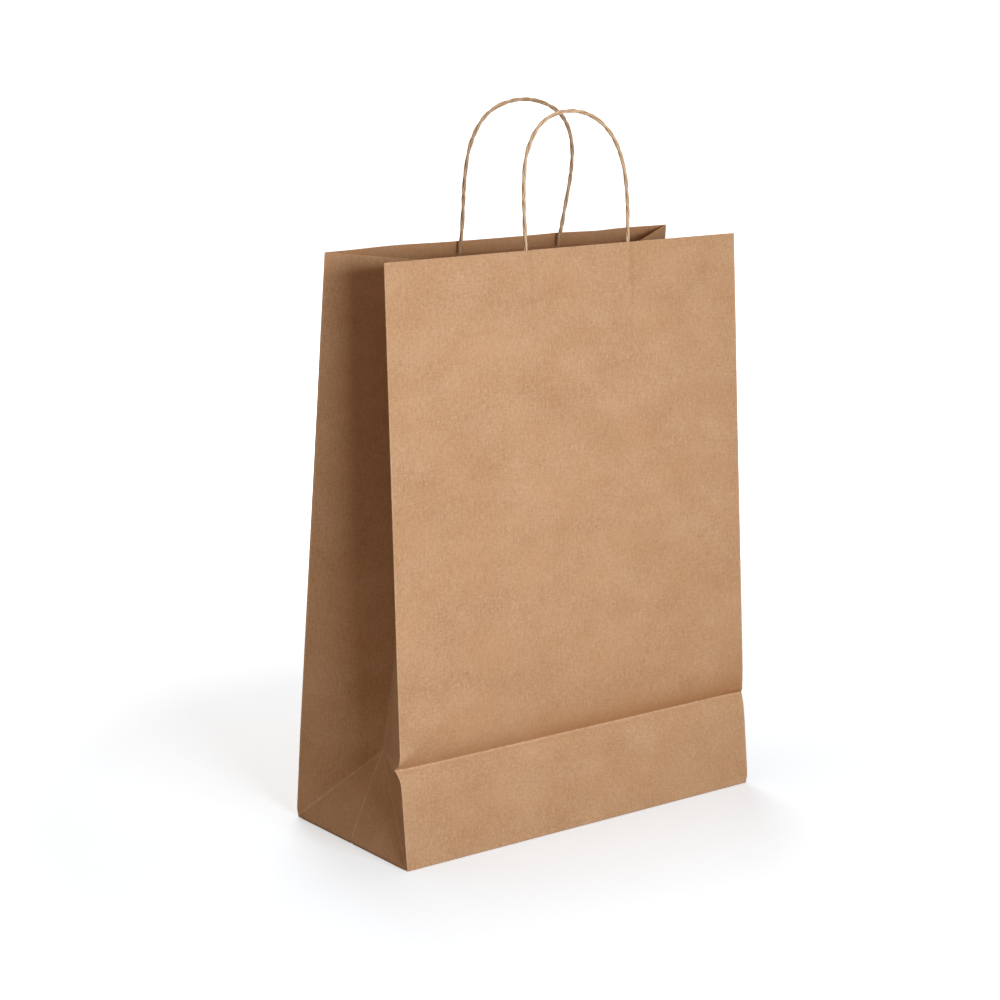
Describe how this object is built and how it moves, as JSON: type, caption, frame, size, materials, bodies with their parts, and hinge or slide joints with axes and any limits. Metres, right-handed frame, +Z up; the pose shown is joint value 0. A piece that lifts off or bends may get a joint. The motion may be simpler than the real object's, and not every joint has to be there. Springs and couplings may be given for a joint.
{
  "type": "gift bag",
  "caption": "Upright kraft paper carrier bag with side gussets, a folded block bottom and two twisted paper cord handles.",
  "frame": {"origin": "centre of the base, on the surface that the bag stands on", "axes": "+X to the right across the front wall, +Y from the front wall to the back wall, +Z up"},
  "size_m": [0.3196, 0.14, 0.5197],
  "materials": {
    "kraft_paper": "uncoated brown kraft paper",
    "patch_paper": "uncoated brown kraft paper strip",
    "handle_cord": "twisted kraft paper cord"
  },
  "bodies": {
    "base": {"front_foot_strip": "kraft_paper", "back_foot_strip": "kraft_paper", "left_gusset_foot": "kraft_paper", "left_front_corner_fold": "kraft_paper", "left_back_corner_fold": "kraft_paper", "right_gusset_foot": "kraft_paper", "right_front_corner_fold": "kraft_paper", "right_back_corner_fold": "kraft_paper", "outer_base_flap": "kraft_paper", "inner_base_flap": "kraft_paper", "left_tuck_flap": "kraft_paper", "right_tuck_flap": "kraft_paper", "foot_seam_lap": "kraft_paper"},
    "front_wall": {"front_panel": "kraft_paper", "front_patch_base": "patch_paper", "front_patch_cover": "patch_paper", "front_cord_ends": "handle_cord"},
    "back_wall": {"back_panel": "kraft_paper", "seam_lap": "kraft_paper", "back_patch_base": "patch_paper", "back_patch_cover": "patch_paper", "back_cord_ends": "handle_cord"},
    "left_gusset_front": {"left_gusset_front_outer": "kraft_paper", "left_gusset_front_inner": "kraft_paper"},
    "left_gusset_back": {"left_gusset_back_outer": "kraft_paper", "left_gusset_back_inner": "kraft_paper"},
    "right_gusset_front": {"right_gusset_front_outer": "kraft_paper", "right_gusset_front_inner": "kraft_paper"},
    "right_gusset_back": {"right_gusset_back_outer": "kraft_paper", "right_gusset_back_inner": "kraft_paper"},
    "front_handle": {"front_handle": "handle_cord"},
    "back_handle": {"back_handle": "handle_cord"}
  },
  "joints": [
    {"name": "mouth_front", "type": "hinge", "parent": "base", "child": "front_wall", "pos_m": [0, -0.06208, 0.06955], "axis": [-1, 0, 0], "range_deg": [-2, 3]},
    {"name": "mouth_back", "type": "hinge", "parent": "base", "child": "back_wall", "pos_m": [0, 0.06366, 0.06971], "axis": [1, 0, 0], "range_deg": [-2, 3]},
    {"name": "left_fold_front", "type": "hinge", "parent": "front_wall", "child": "left_gusset_front", "pos_m": [-0.16, -0.06208, 0.06955], "axis": [0.0074, 0.0628, 0.998], "range_deg": [-17.12, 11.41]},
    {"name": "left_fold_back", "type": "hinge", "parent": "back_wall", "child": "left_gusset_back", "pos_m": [-0.16, 0.06366, 0.06971], "axis": [0.0129, -0.0854, 0.9963], "range_deg": [-11.41, 17.12]},
    {"name": "right_fold_front", "type": "hinge", "parent": "front_wall", "child": "right_gusset_front", "pos_m": [0.16, -0.06208, 0.06955], "axis": [-0.0074, 0.0628, 0.998], "range_deg": [-11.41, 17.12]},
    {"name": "right_fold_back", "type": "hinge", "parent": "back_wall", "child": "right_gusset_back", "pos_m": [0.16, 0.06366, 0.06971], "axis": [-0.0129, -0.0854, 0.9963], "range_deg": [-17.12, 11.41]},
    {"name": "front_handle_swing", "type": "hinge", "parent": "front_wall", "child": "front_handle", "pos_m": [0, -0.03804, 0.42043], "axis": [1, 0, 0], "range_deg": [0, 90]},
    {"name": "back_handle_swing", "type": "hinge", "parent": "back_wall", "child": "back_handle", "pos_m": [0, 0.03171, 0.41996], "axis": [-1, 0, 0], "range_deg": [0, 90]}
  ],
  "couplings": [
    {"joint": "mouth_back", "follows": "mouth_front", "ratio": 1},
    {"joint": "left_fold_front", "follows": "mouth_front", "ratio": -5.7},
    {"joint": "left_fold_back", "follows": "mouth_front", "ratio": 5.7},
    {"joint": "right_fold_front", "follows": "mouth_front", "ratio": 5.7},
    {"joint": "right_fold_back", "follows": "mouth_front", "ratio": -5.7}
  ]
}
